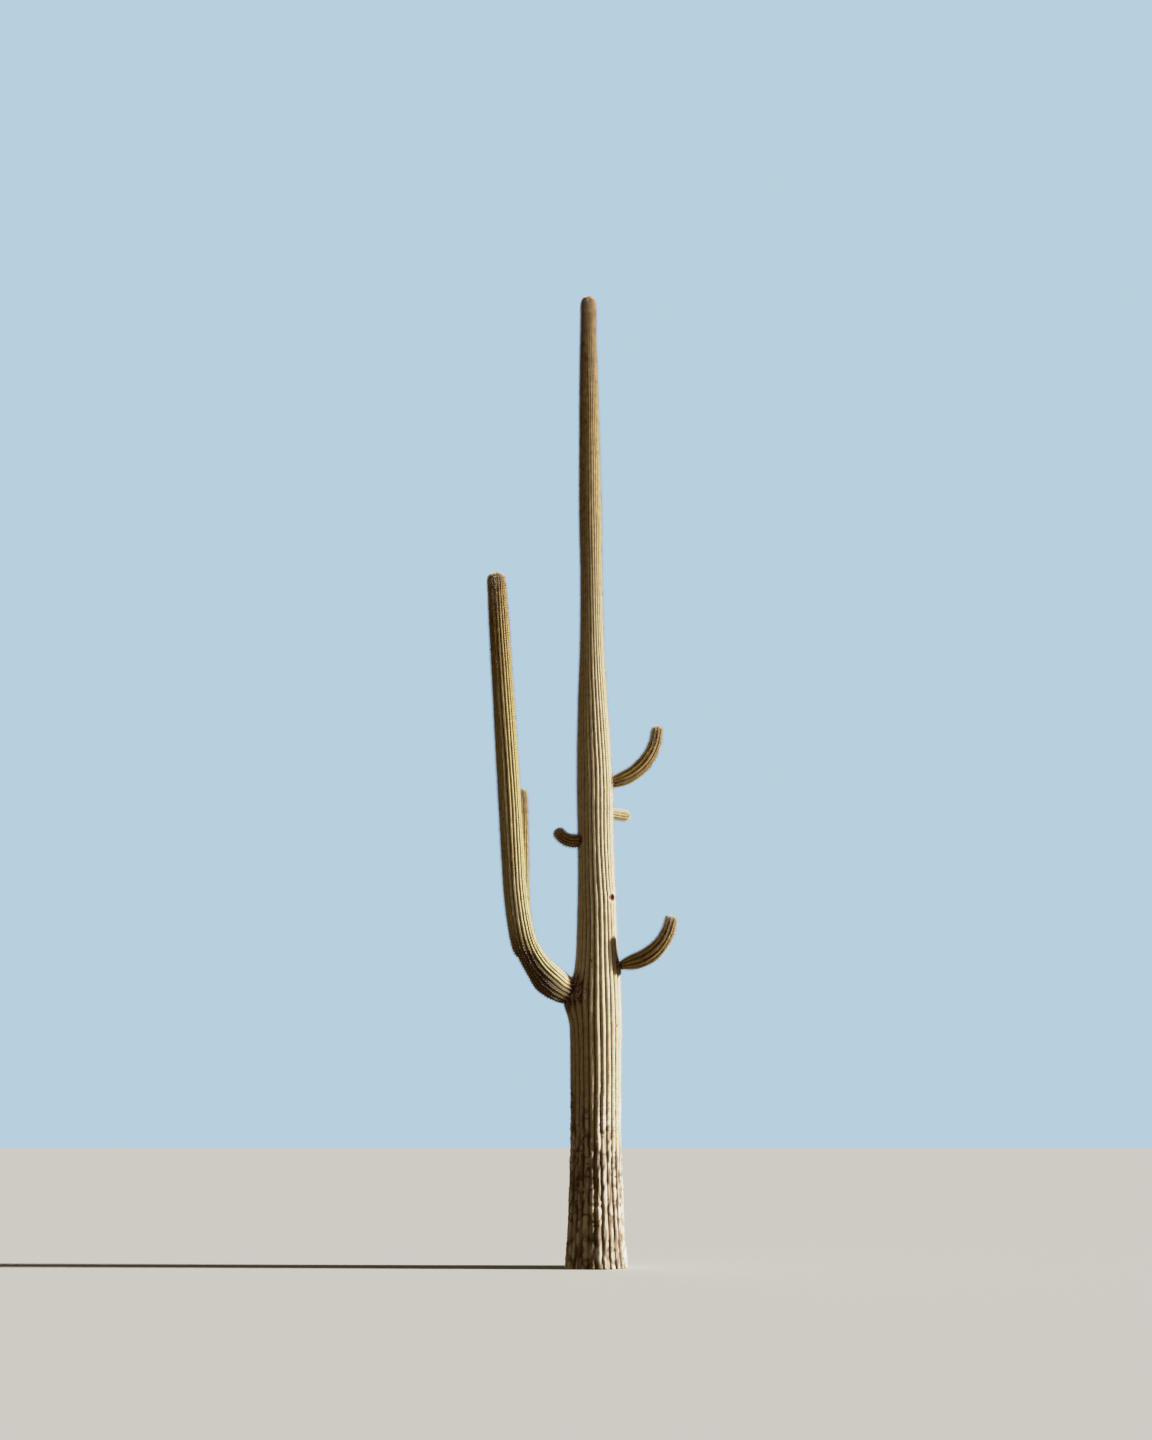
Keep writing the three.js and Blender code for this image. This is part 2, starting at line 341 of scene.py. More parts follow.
def ribbed_stem(rings, ribs):
    """Points of a ribbed skin as rows by columns, with what its colours and spines need."""
    across = np.tile(across_rib, ribs)
    turn = 2 * np.pi * (np.repeat(np.arange(ribs), len(across_rib)) + across) / ribs
    turn = turn + rings["twist"][:, None]
    radius = rings["radius"][:, None]
    distance = rings["distance"][:, None]
    # Noise is read on the stem rolled straight, so that it runs on round a bend
    rolled = np.stack(np.broadcast_arrays(radius * np.cos(turn), radius * np.sin(turn), distance), axis=-1)
    pitch = 2 * np.pi / ribs
    reach = np.median(rings["radius"])
    turn = turn + pitch * rib_wander * lumps(rolled, (reach * 0.5, reach * 0.5, 0.55), 3.1)
    turn = turn + pitch * rib_drift * lumps(rolled * (0.2, 0.2, 1), (reach, reach, 2.2), 7.7)
    depth = rings["depth"][:, None] * (1 + rib_depth_sway * lumps(rolled, (0.09, 0.09, 0.5), 5.3))
    # A rib is half round, with a narrow furrow on either side
    sunk = depth * (1 - np.sqrt(1 - (2 * across - 1) ** 2))
    crest_wave = crest_relief * lumps(rolled, (0.03, 0.03, 0.07), 9.4) - crest_relief
    skin_wave = skin_relief * lumps(rolled, (0.02, 0.02, 0.035), 1.9)
    shrink = np.clip(radius / reach, 0, 1)
    out = radius - sunk + (crest_wave + skin_wave) * shrink
    side = rings["side"][:, None]
    over = rings["over"][:, None]
    to_side = side * (out * np.cos(turn))[..., None]
    to_over = over * (out * np.sin(turn))[..., None]
    return {
        "points": rings["centre"][:, None] + to_side + to_over,
        "rolled": rolled,
        "ribs": ribs,
        "rings": rings,
        "sunk": sunk,
        "furrow": np.broadcast_to(1 - np.sin(np.pi * across), out.shape),
        "from_axis": turned(side, over, turn),
    }


def skin_triangles(rows, columns):
    """Triangles of a grid rolled into a tube, with a fan over each end."""
    here = np.arange(rows * columns).reshape(rows, columns)
    beside = np.roll(here, -1, axis=1)
    start = np.full(columns, rows * columns)
    sides = [(here[:-1], beside[:-1], beside[1:]), (here[:-1], beside[1:], here[1:])]
    fans = [(start, beside[0], here[0]), (start + 1, here[-1], beside[-1])]
    return np.concatenate([np.stack(corners, axis=-1).reshape(-1, 3) for corners in sides + fans])


def unit(vectors):
    """The vectors at a length of 1."""
    return vectors / np.linalg.norm(vectors, axis=-1, keepdims=True)


def skin_normals(points):
    """Outward unit normals of a grid rolled into a tube."""
    around = np.roll(points, -1, axis=1) - np.roll(points, 1, axis=1)
    return unit(np.cross(around, np.gradient(points, axis=0)))


def add_skin(name, stem, marks, material):
    """The stem's skin as a piece, with each mark as a value at its points."""
    points = stem["points"]
    rows, columns = points.shape[:2]
    ends = [points[0].mean(axis=0), stem["rings"]["apex"]]
    triangles = skin_triangles(rows, columns)
    piece = add_mesh(name, np.concatenate([points.reshape(-1, 3), ends]), triangles, [material])
    for mark, values in marks.items():
        layer = piece.data.attributes.new(mark, "FLOAT", "POINT")
        full = np.broadcast_to(values, (rows, columns))
        with_ends = np.append(full.ravel(), [full[0].mean(), full[-1].mean()])
        layer.data.foreach_set("value", with_ends.astype(np.float32))
    stem["normals"] = skin_normals(points)
    return piece


def ramp(tree, value, stops):
    """The colour at a value between the stops, each a value and its colour."""
    node = add_node(tree, "ShaderNodeValToRGB", {"Fac": value})
    elements = node.color_ramp.elements
    for order, (position, colour) in enumerate(stops):
        stop = elements[order] if order < 2 else elements.new(position)
        stop.position = position
        stop.color = linear(colour)
    return node.outputs[0]


def grains_of(tree, place, size, detail):
    """Noise at a place, in grains of a size in metres."""
    inputs = {"Vector": place, "Scale": 1 / size, "Detail": detail}
    return add_node(tree, "ShaderNodeTexNoise", inputs).outputs[0]


def stored(tree, *marks):
    """The marks' values at the points of the mesh."""
    return [add_node(tree, "ShaderNodeAttribute", attribute_name=mark).outputs["Fac"] for mark in marks]


def ragged(tree, value, grains, strength):
    """The value with grains added, which make its edges ragged."""
    inputs = {0: grains, 1: strength, 2: value}
    return add_node(tree, "ShaderNodeMath", inputs, operation="MULTIPLY_ADD").outputs[0]


def ranged(tree, value, start, end, low=0.0, high=1.0, step="LINEAR"):
    """A value's way from start to end, as one from low to high."""
    inputs = {0: value, 1: start, 2: end, 3: low, 4: high}
    return add_node(tree, "ShaderNodeMapRange", inputs, interpolation_type=step).outputs[0]


def mixed(tree, share, first, second):
    """The first colour, covered by a share of the second."""
    inputs = {0: share, 6: first, 7: second}
    return add_node(tree, "ShaderNodeMix", inputs, data_type="RGBA").outputs[2]


def join_surface(tree, shader, colour, grains, bump_strength, bump_height):
    """Joins a colour to a shader, and grains that stand up where a bump is given."""
    tree.links.new(colour, shader.inputs["Base Color"])
    if bump_strength:
        inputs = {"Height": grains, "Strength": bump_strength, "Distance": bump_height}
        bump = add_node(tree, "ShaderNodeBump", inputs)
        tree.links.new(bump.outputs[0], shader.inputs["Normal"])


def waxy_skin(name, roughness, crest_stops, flank_stops, furrow_and_shade_stops):
    """Living skin under wax: sunburnt tan crests, duller flanks, furrows dark partly as painted shade,
    mottled.
    """
    material, tree, shader = new_material(name, {"Roughness": roughness, "IOR": 1.45})
    place = add_node(tree, "ShaderNodeTexCoord").outputs["Object"]
    growth, furrow, scar_and_crease_shade = stored(tree, "growth", "furrow", "scar_and_crease_shade")
    # Blotches of 60 mm and streaks of 9 mm by 90 mm
    blotches = grains_of(tree, place, 0.06, 3.0)
    stretch = (1 / 0.009, 1 / 0.009, 1 / 0.09)
    stretched = add_node(tree, "ShaderNodeMapping", {"Vector": place, "Scale": stretch}).outputs[0]
    streaks = grains_of(tree, stretched, 1.0, 2.0)
    crest, flank, depth = [ramp(tree, growth, stops) for stops in (crest_stops, flank_stops, furrow_and_shade_stops)]
    # The flank's colour sets in first on the way down from a crest, and below it the furrow's, which is
    # partly painted shade
    way_down = ragged(tree, furrow, streaks, 0.22)
    upper = mixed(tree, ranged(tree, way_down, 0.14, 0.46, step="SMOOTHSTEP"), crest, flank)
    skin = mixed(tree, ranged(tree, way_down, 0.6, 1.1, step="SMOOTHSTEP"), upper, depth)
    # The blotches are strongest on the youngest skin
    darkest = ranged(tree, growth, 0.6, 1.0, 0.84, 0.60)
    palest = ranged(tree, growth, 0.6, 1.0, 1.12, 1.40)
    shade = ranged(tree, blotches, 0.34, 0.66, darkest, palest)
    mottled = add_node(tree, "ShaderNodeVectorMath", {0: skin, "Scale": shade}, operation="SCALE")
    # Rust brown over scars, darkest in the middle of a hole or pit; in a neck's crease it is painted shade
    # on corky skin
    scar_and_crease_shade_brown = ramp(tree, scar_and_crease_shade, [(0.25, "#8a5634"), (0.6, "#4f2b18"), (0.95, "#23120b")])
    over_skin = ranged(tree, scar_and_crease_shade, 0.05, 0.6)
    return material, tree, shader, place, mixed(tree, over_skin, mottled.outputs[0], scar_and_crease_shade_brown)


def finish_skin(tree, shader, place, colour):
    """Joins a skin's colour and a bump of 5 mm pores to its shader."""
    join_surface(tree, shader, colour, grains_of(tree, place, 0.005, 2.0), 0.35, 0.003)


def trunk_bark():
    """Waxy skin above; below it cork: grey-brown plates, pale where they flake, with dark cracks and
    shaded furrows.
    """
    material, tree, shader, place, skin = waxy_skin(
        "trunk_skin_and_cork", 0.75,
        [(0.0, "#d4c29c"), (0.3, "#dbcbab"), (0.55, "#d6caac"), (0.85, "#bda87b"), (1.0, "#9a8154")],
        [(0.0, "#cbbb9a"), (0.4, "#c6b998"), (0.8, "#a09064"), (1.0, "#6b5632")],
        [(0.0, "#4f432d"), (0.5, "#4d4128"), (1.0, "#4a381e")],
    )
    cork, plate = stored(tree, "cork", "plate")
    # Grain of 7 mm in the cork
    broken = ragged(tree, plate, grains_of(tree, place, 0.007, 4.0), 0.4)
    bark = ramp(tree, broken, [
        (0.2, "#5a4834"), (0.42, "#837059"), (0.62, "#a3917a"), (0.82, "#c8b8a0"), (0.97, "#e8dcc8"),
    ])
    finish_skin(tree, shader, place, mixed(tree, cork, skin, bark))
    return material


def trunk_outline(heights):
    """The trunk's radius over its spines and how far its axis leans, at the heights."""
    lean = np.interp(heights, trunk_stations[:, 0], trunk_stations[:, 2])
    return profile(trunk_stations[:, :2], heights) / 2, lean


def trunk_rings():
    """Rings up the trunk, closer together in the cork and round the nest hole."""
    hole = nest_hole["height"]
    heights = np.concatenate([
        np.arange(0, cork_rows_end, cork_row_spacing),
        np.arange(skin_rows_start, hole - hole_rows_reach, skin_row_spacing),
        np.arange(hole - hole_rows_reach, hole + hole_rows_reach, hole_row_spacing),
        np.arange(hole + hole_rows_reach, trunk_shoulder, skin_row_spacing),
        [trunk_shoulder],
    ])
    rows = len(heights)
    room = spine_room + (spine_room_at_tip - spine_room) * smooth_steps(10.4, trunk_shoulder, heights)
    # Worn spines need less room towards the foot
    room = room * smooth_steps(-0.6, 2.4, heights)
    outline, lean = trunk_outline(heights)
    radius = outline - room
    rib_share = cork_rib_share + (1 - cork_rib_share) * np.clip(heights / cork_top, 0, 1)
    rings = {
        "centre": np.stack([lean, np.zeros(rows), heights], axis=-1),
        "side": np.tile((1.0, 0.0, 0.0), (rows, 1)),
        "over": np.tile((0.0, 1.0, 0.0), (rows, 1)),
        "along": np.tile(upward, (rows, 1)),
        "radius": radius,
        "depth": rib_depth_share * radius * 2 * np.pi / trunk_ribs * rib_share,
        "twist": np.radians(profile(rib_twist, heights)),
        "distance": heights,
    }
    return with_tip(rings, trunk_top - trunk_shoulder - spine_room_at_tip, trunk_tip_rows)


def on_trunk(bearing, height):
    """The skin's point on the trunk's outline at a bearing and a height."""
    (outline,), (lean,) = trunk_outline(np.array([height]))
    return np.array((lean, 0.0, height)) + compass(bearing)[0] * (outline - spine_room)


def press(stem, place, radius, depth):
    """Pushes the skin in around a place, with steep walls, and returns how far each point is in it."""
    away = np.linalg.norm((stem["points"] - place) * (1, 1, 0.95), axis=-1)
    inside = 1 - smooth_steps(radius * 0.75, radius * 1.2, away)
    stem["points"] -= stem["from_axis"] * (depth * inside)[..., None]
    return inside


trunk = ribbed_stem(trunk_rings(), trunk_ribs)

for bearing, height, swell, spread, spread_ahead in root_swells:
    offset = trunk["points"] - on_trunk(bearing, height)
    outward, ahead = [offset @ direction for direction in compass(bearing)]
    round_trunk = ahead / np.where(ahead > 0, spread_ahead, spread)
    away = round_trunk ** 2 + (outward / spread) ** 2 + (offset[..., 2] * 0.8 / spread) ** 2
    trunk["points"] += trunk["from_axis"] * (swell * np.exp(-away))[..., None]

# Cork climbs higher on some ribs than on others
cork_edge = cork_edge_height + cork_edge_sway * lumps(trunk["rolled"], (0.09, 0.09, 0.5), 2.2)
trunk_cork = 1 - smooth_steps(-0.35, 0.35, trunk["points"][..., 2] - cork_edge)
# Cracks part the cork into upright plates
long_cracks = np.abs(lumps(trunk["rolled"], (0.045, 0.045, 0.20), 4.0))
cross_cracks = np.abs(lumps(trunk["rolled"], (0.10, 0.10, 0.07), 8.0))
trunk_plate = np.clip(np.minimum(long_cracks * 3.2, cross_cracks * 4.5), 0, 1)
flaking = smooth_steps(-0.1, 0.6, lumps(trunk["rolled"], (0.06, 0.06, 0.17), 6.0))
cork_relief = trunk_cork * (crack_depth * (trunk_plate - 1) + flake_height * flaking)
trunk["points"] += trunk["from_axis"] * cork_relief[..., None]

hole_place = on_trunk(nest_hole["bearing"], nest_hole["height"])
hole_collar = np.exp(-(np.linalg.norm(trunk["points"] - hole_place, axis=-1) / collar_radius) ** 2)
# Scar tissue fills the furrows round the hole and stands a little proud
fill_up = trunk["furrow"] * trunk["rings"]["depth"][:, None] * hole_collar + collar_height * hole_collar
trunk["points"] += trunk["from_axis"] * fill_up[..., None]
trunk_scar_and_crease_shade = press(trunk, hole_place, nest_hole["radius"], nest_hole["depth"])
for bearing, height, radius, depth in trunk_pits:
    trunk_scar_and_crease_shade = np.maximum(trunk_scar_and_crease_shade, press(trunk, on_trunk(bearing, height), radius, depth))

# Growth is the age of the skin, from old at 0 to the youngest at 1
trunk["growth"] = smooth_steps(-1.0, 13.5, trunk["rings"]["distance"]) ** 1.1
trunk_skin = add_skin("trunk_skin", trunk, {
    "growth": np.clip(trunk["growth"], 0, 1)[:, None],
    "furrow": trunk["furrow"],
    "cork": trunk_cork,
    # The cork is darker down the furrows, partly as painted shade
    "plate": np.clip(0.6 * trunk_plate + 0.35 * flaking - 0.4 * trunk["furrow"] + 0.1, 0, 1),
    "scar_and_crease_shade": trunk_scar_and_crease_shade,
}, trunk_bark())
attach(trunk_skin, "root")
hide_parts("trunk")


# Arms
# An arm is a branch with its own ribbed skin. It leaves the trunk by a narrow corky neck, runs out and
# turns up to grow beside the trunk, and its younger skin is greener and more golden than the trunk's.
# Each leaves the trunk's axis in a vertical plane at a bearing turned anticlockwise from +X. Its root
# lies inside the trunk, at a reach from the axis and a height, and sets out at a rise in degrees. A
# step runs straight for a length or bends with a radius to a new rise. The girth gives the diameter
# over the spines at a distance from the root. The crease is how far the dark folds round the neck
# reach: corky skin, with painted shade where the arm meets the trunk.
arms = {
    "left_arm": {
        "nodes": ("left_arm_elbow", "left_arm_upright"),
        "bearing": 206, "axis_lean": 0.004, "root": (0.100, 3.052, 14), "ribs": 20, "tip_length": 0.105,
        "steps": [("straight", 0.225), ("bend", 0.880, 76), ("bend", 3.800, 85.8), ("straight", 3.617)],
        "girth": [(0, 0.290), (0.165, 0.305), (0.225, 0.320), (0.290, 0.345), (0.400, 0.380),
                  (0.520, 0.396), (0.740, 0.370), (0.960, 0.340), (1.220, 0.312), (1.600, 0.292),
                  (2.200, 0.286), (3.300, 0.279), (4.000, 0.267), (4.600, 0.257), (5.450, 0.250)],
        # The neck is pinched at this distance, by this share of its width
        "pinch": (0.300, 0.33),
        # Painted shade darkens the elbow's outer side, the most towards -Y, up to this distance
        "painted_underside_shade": 1.35,
        # A wound at the elbow: its side of the bend has dried back between these distances, by this
        # depth, and the dark scar stands at the upper end, at this turn round the arm and with this
        # radius
        "wound": (0.56, 0.985, 0.036, 255, 0.055),
        "crease_cork_and_shade": 0.080, "root_growth": 0.18, "tip_growth": 0.90, "row_spacing": 0.022,
        "rib_depth_share": 0.52,
    },
    "rear_arm": {
        "nodes": ("rear_arm_elbow", "rear_arm_upright"),
        "bearing": 139, "axis_lean": 0.014, "root": (0.110, 3.110, 20), "ribs": 13, "tip_length": 0.095,
        "steps": [("straight", 0.394), ("bend", 1.060, 80), ("bend", 2.800, 89), ("straight", 1.115)],
        "girth": [(0, 0.150), (0.220, 0.160), (0.340, 0.172), (1.100, 0.178), (1.700, 0.182),
                  (2.900, 0.177)],
        "crease_cork_and_shade": 0.035, "root_growth": 0.40, "row_spacing": 0.028,
    },
    "lower_right_arm": {
        "nodes": ("lower_right_arm",),
        "bearing": -10, "axis_lean": 0.016, "root": (0.100, 3.373, 15), "ribs": 12, "tip_length": 0.095,
        "steps": [("straight", 0.380), ("bend", 0.580, 72), ("straight", 0.060)],
        "girth": [(0, 0.150), (0.200, 0.104), (0.255, 0.142), (0.340, 0.188), (0.480, 0.210),
                  (0.700, 0.202), (0.900, 0.186), (1.100, 0.164)],
        "crease_cork_and_shade": 0.048, "root_growth": 0.76, "row_spacing": 0.022,
    },
    "upper_right_arm": {
        "nodes": ("upper_right_arm",),
        "bearing": 8, "axis_lean": -0.005, "root": (0.060, 5.570, 22), "ribs": 12, "tip_length": 0.090,
        "steps": [("straight", 0.290), ("bend", 0.720, 84)],
        "girth": [(0, 0.150), (0.170, 0.130), (0.225, 0.158), (0.367, 0.184), (0.500, 0.188),
                  (0.660, 0.185), (0.870, 0.178), (1.069, 0.164)],
        "crease_cork_and_shade": 0.042, "root_growth": 0.76, "row_spacing": 0.022,
    },
    "right_bud_arm": {
        "nodes": ("right_bud_arm",),
        "bearing": 40, "axis_lean": 0.002, "root": (0.060, 5.276, 0), "ribs": 12, "tip_length": 0.085,
        "steps": [("straight", 0.410)],
        "girth": [(0, 0.146), (0.190, 0.136), (0.310, 0.150), (0.410, 0.146)],
        "crease_cork_and_shade": 0.018, "root_growth": 0.10, "tip_growth": 0.5, "row_spacing": 0.020,
    },
    "left_stub_arm": {
        "nodes": ("left_stub_arm",),
        "bearing": 192, "axis_lean": 0.014, "root": (0.060, 4.921, -4), "ribs": 12, "tip_length": 0.078,
        "steps": [("straight", 0.225), ("bend", 0.180, 55)],
        "girth": [(0, 0.180), (0.170, 0.184), (0.260, 0.178), (0.420, 0.160)],
        "crease_cork_and_shade": 0.018, "root_growth": 0.8, "row_spacing": 0.020,
    },
}
# The skin lies inside the girth by this share of the diameter, and within this reach of its tip by up
# to this much more, which the long young spines fill, as they do the gap over the tip
arm_spine_room = 0.03
arm_tip_room = 0.011
arm_tip_room_reach = 0.5
arm_tip_gap = 0.010
pinch_reach = 0.16
arm_rib_depth_share = 0.30
arm_tip_rows = 9
# Folds, and the trunk's skin that an arm covers, lie along this much of an arm from its root
root_length = 0.6


def arm_line(arm):
    """Distance, reach from the trunk's axis, height and rise of an arm's centreline, ring by ring."""
    reach, height, rise = arm["root"]
    rise = math.radians(rise)
    start = 0.0
    rows = []
    for kind, size, *new_rise in arm["steps"]:
        if kind == "straight":
            length = size
            run = np.arange(0, length, arm["row_spacing"])
            rises = np.full(len(run), rise)
            reaches = reach + run * math.cos(rise)
            heights = height + run * math.sin(rise)
            reach += length * math.cos(rise)
            height += length * math.sin(rise)
        else:
            end_rise = math.radians(new_rise[0])
            length = size * (end_rise - rise)
            run = np.arange(0, length, arm["row_spacing"])
            rises = rise + run / size
            reaches = reach + size * (np.sin(rises) - math.sin(rise))
            heights = height - size * (np.cos(rises) - math.cos(rise))
            reach += size * (math.sin(end_rise) - math.sin(rise))
            height -= size * (math.cos(end_rise) - math.cos(rise))
            rise = end_rise
        rows.append(np.stack([start + run, reaches, heights, rises], axis=-1))
        start += length
    rows.append(np.array([(start, reach, height, rise)]))
    return np.concatenate(rows)


def arm_rings(arm):
    """Rings along an arm, each square to its centreline, with its rounded tip."""
    distance, reach, height, rise = arm_line(arm).T
    outward, side = compass(arm["bearing"])
    along = turned(outward, upward, rise)
    side = np.tile(side, (len(distance), 1))
    # A pinched neck is narrower than it is deep
    pinch_distance, pinch_share = arm.get("pinch", (0.0, 0.0))
    pinch = 1 - pinch_share * np.exp(-((distance - pinch_distance) / pinch_reach) ** 2)
    length = distance[-1]
    tip_room = arm_tip_room * smooth_steps(length - arm_tip_room_reach, length, distance)
    radius = profile(np.array(arm["girth"]), distance) * (0.5 - arm_spine_room) - tip_room
    rings = {
        "centre": outward * reach[:, None] + upward * height[:, None] + (arm["axis_lean"], 0, 0),
        "side": side * pinch[:, None],
        "over": np.cross(along, side),
        "along": along,
        "radius": radius,
        "depth": arm.get("rib_depth_share", arm_rib_depth_share) * radius * 2 * np.pi / arm["ribs"],
        "twist": np.zeros(len(distance)),
        "distance": distance,
    }
    return with_tip(rings, arm["tip_length"] - arm_tip_gap - arm_tip_room, arm_tip_rows)


def arm_skin_material():
    """Young waxy skin: olive flanks, golden crests, red-brown necks; painted shade in creases and under
    elbows.
    """
    material, tree, shader, place, skin = waxy_skin(
        "arm_skin", 0.7,
        [(0.0, "#dfd3b6"), (0.4, "#d2c08a"), (0.65, "#bca567"), (0.85, "#a68b48"), (1.0, "#947a3f")],
        [(0.0, "#b8ab84"), (0.5, "#9f8e50"), (0.8, "#7a6533"), (1.0, "#5f4e29")],
        [(0.0, "#5c5233"), (0.5, "#443d1c"), (1.0, "#352812")],
    )
    painted_underside_shade, = stored(tree, "painted_underside_shade")
    # Painted shade: a dark brown laid over the elbow's underside, the most towards -Y
    finish_skin(tree, shader, place, mixed(tree, painted_underside_shade, skin, linear("#503c1e")))
    return material


arm_skin = arm_skin_material()


def outside_trunk(places):
    """How far places stand outside the trunk's crests, measured level from its axis."""
    rows, columns = trunk["points"].shape[:2]
    row = np.clip(np.searchsorted(trunk["rings"]["distance"], places[..., 2]), 0, rows - 1)
    axis = trunk["rings"]["centre"][row]
    from_axis = places[..., :2] - axis[..., :2]
    column = np.rint(np.arctan2(from_axis[..., 1], from_axis[..., 0]) * columns / (2 * np.pi)).astype(int)
    nearby = (column[..., None] + np.arange(-4, 5)) % columns
    crests = trunk["points"][row[..., None], nearby, :2] - axis[..., None, :2]
    return np.linalg.norm(from_axis, axis=-1) - np.linalg.norm(crests, axis=-1).max(axis=-1)


def crease_cork_and_shade_on_trunk(stem, width):
    """Dark folds round an arm's neck, corky skin with painted shade in the crease, as a mark on the
    trunk's skin.
    """
    root = stem["rings"]["distance"] < root_length
    reach = np.linalg.norm(trunk["points"][:, :, None] - stem["rings"]["centre"][root], axis=-1)
    away = (reach - stem["rings"]["radius"][root]).min(axis=-1)
    folds = 0.7 + 0.3 * np.cos(away * 2 * np.pi / 0.026)
    return np.exp(-(away / width) ** 2) * folds


def inward_share(stem):
    """1 where a stem's skin faces the inner side of its bend, and -1 on the outer side."""
    return np.einsum("rci,ri->rc", stem["from_axis"], stem["rings"]["over"])


def underside_shade_share(stem):
    """Where painted shade goes: 0 on the inner side of a stem's bend, up to 1 on its outer side, the most
    towards -Y.
    """
    to_front = np.clip(-stem["from_axis"][..., 1], 0, 1)
    return (1 - smooth_steps(-0.25, 0.30, inward_share(stem))) * (0.45 + 0.55 * to_front)


def dry_back(stem, start, end, depth):
    """Draws in the outer side of a bend, which has dried back below an old wound."""
    distance = stem["rings"]["distance"][:, None]
    under = np.clip(-inward_share(stem), 0, 1) ** 0.8
    sets_in = smooth_steps(start, start + 0.55 * (end - start), distance)
    dried = under * sets_in * (1 - smooth_steps(end - 0.03, end, distance))
    stem["points"] -= stem["from_axis"] * (depth * dried)[..., None]
    return dried


def add_arm(name, arm):
    """An arm's skin from its root inside the trunk to its tip."""
    stem = ribbed_stem(arm_rings(arm), arm["ribs"])
    distance = stem["rings"]["distance"]
    # The arm's skin darkens next to the trunk in corky folds, with painted shade in the crease
    crease_cork_and_shade = np.exp(-(outside_trunk(stem["points"]) / arm["crease_cork_and_shade"]) ** 2)
    fold = 0.85 + 0.3 * lumps(stem["rolled"], (0.05, 0.05, 0.03))
    scar_and_crease_shade = np.clip(crease_cork_and_shade * (distance < root_length)[:, None] * fold, 0, 1)
    if "wound" in arm:
        start, end, depth, turn, radius = arm["wound"]
        scar_and_crease_shade = np.maximum(scar_and_crease_shade, 0.16 * dry_back(stem, start, end, depth))
        column = round(turn / 360 * scar_and_crease_shade.shape[1])
        heel = stem["points"][np.searchsorted(distance, end), column]
        scar_and_crease_shade = np.maximum(scar_and_crease_shade, press(stem, heel.copy(), radius, 0.010))
    gain = arm.get("tip_growth", 1.0) - arm["root_growth"]
    stem["growth"] = arm["root_growth"] + gain * (distance / distance[-1]) ** 1.5
    growth = np.broadcast_to(stem["growth"][:, None], scar_and_crease_shade.shape)
    painted_underside_shade = np.zeros(scar_and_crease_shade.shape)
    if "painted_underside_shade" in arm:
        # Painted shade: the elbow's outer side takes the dark colours of the youngest skin, and its ribs
        # are worn down
        below = 1 - smooth_steps(arm["painted_underside_shade"] - 0.5, arm["painted_underside_shade"], distance)
        painted_underside_shade = below[:, None] * underside_shade_share(stem)
        growth = growth + (1 - growth) * painted_underside_shade
        stem["points"] += stem["from_axis"] * (0.7 * painted_underside_shade * stem["sunk"])[..., None]
    piece = add_skin(f"{name}_skin", stem, {
        "growth": growth,
        "furrow": stem["furrow"],
        "scar_and_crease_shade": scar_and_crease_shade,
        "painted_underside_shade": 0.9 * painted_underside_shade,
    }, arm_skin)
    # Like the floor, an arm throws no light back at the trunk
    piece.visible_diffuse = False
    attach(piece, "root")
    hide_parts(*arm["nodes"])
    return stem


stems = {"trunk": trunk}
for name, arm in arms.items():
    stems[name] = add_arm(name, arm)
    # The trunk's skin darkens round each neck too, with painted shade in the crease
    trunk_scar_and_crease_shade = np.maximum(trunk_scar_and_crease_shade, 0.8 * crease_cork_and_shade_on_trunk(stems[name], arm["crease_cork_and_shade"] * 1.25))
scar_and_crease_shade_values = np.append(trunk_scar_and_crease_shade.ravel(), [0.0, 0.0]).astype(np.float32)
trunk_skin.data.attributes["scar_and_crease_shade"].data.foreach_set("value", scar_and_crease_shade_values)


# Areoles and spines
# Along every crest stands a row of areoles, small oval pads of felt, and from each a star of spines
# grows, worn pale ones on old skin and longer golden ones towards the tips. They are horn, and stiff.
areole_spacing = 0.031
areole_spacing_at_tip = 0.017
felt_length = 0.011
felt_height = 0.005
radial_count = 6
radial_length = 0.017
central_length = 0.038
# Half as thick again as the real ones, so that they show at this distance
radial_thickness = 0.0011
central_thickness = 0.0022
# How far spines stray from their place in the star and from their lift, in radians
turn_stray = 0.16
lift_stray = 0.13
# Young spines round a tip to each areole, and distances below the tip with how full the tuft is there
crown_count = 26
crown_fullness = ([0.06, 0.14, 0.30, 0.6], [1.0, 0.5, 0.15, 0.0])
crown_length = 0.032
crown_thickness = 0.0015
most_triangles = 195000
# The spines and wool stay this far inside the box of the solids
box_inset = 0.0005
needle_sides = [(0, 1, 3), (1, 2, 3), (2, 0, 3)]
chance = np.random.default_rng(5)


def areoles_of(stem):
    """Place, outward and upward directions, growth, pitch and distance to the tip of each areole."""
    distance = stem["rings"]["distance"]
    end = distance[-1]
    rows = []
    for rib in range(stem["ribs"]):
        column = rib * len(across_rib) + crest_point
        spots = []
        spot = chance.uniform(0, areole_spacing)
        while spot < end - 0.004:
            spots.append(spot)
            near_tip = math.exp(-(end - spot) / 0.12)
            spot += areole_spacing + (areole_spacing_at_tip - areole_spacing) * near_tip
        spots = np.array(spots) + chance.normal(0, 0.0015, len(spots))
        place, normal = [
            np.stack([np.interp(spots, distance, stem[kind][:, column, axis]) for axis in range(3)], -1)
            for kind in ("points", "normals")
        ]
        ahead = np.gradient(place, axis=0)
        growth = np.interp(spots, distance, stem["growth"])
        pitch = 2 * np.pi * np.interp(spots, distance, stem["rings"]["radius"]) / stem["ribs"]
        rows.append(np.column_stack([place, unit(normal), ahead, growth, pitch, end - spots]))
    return np.concatenate(rows)


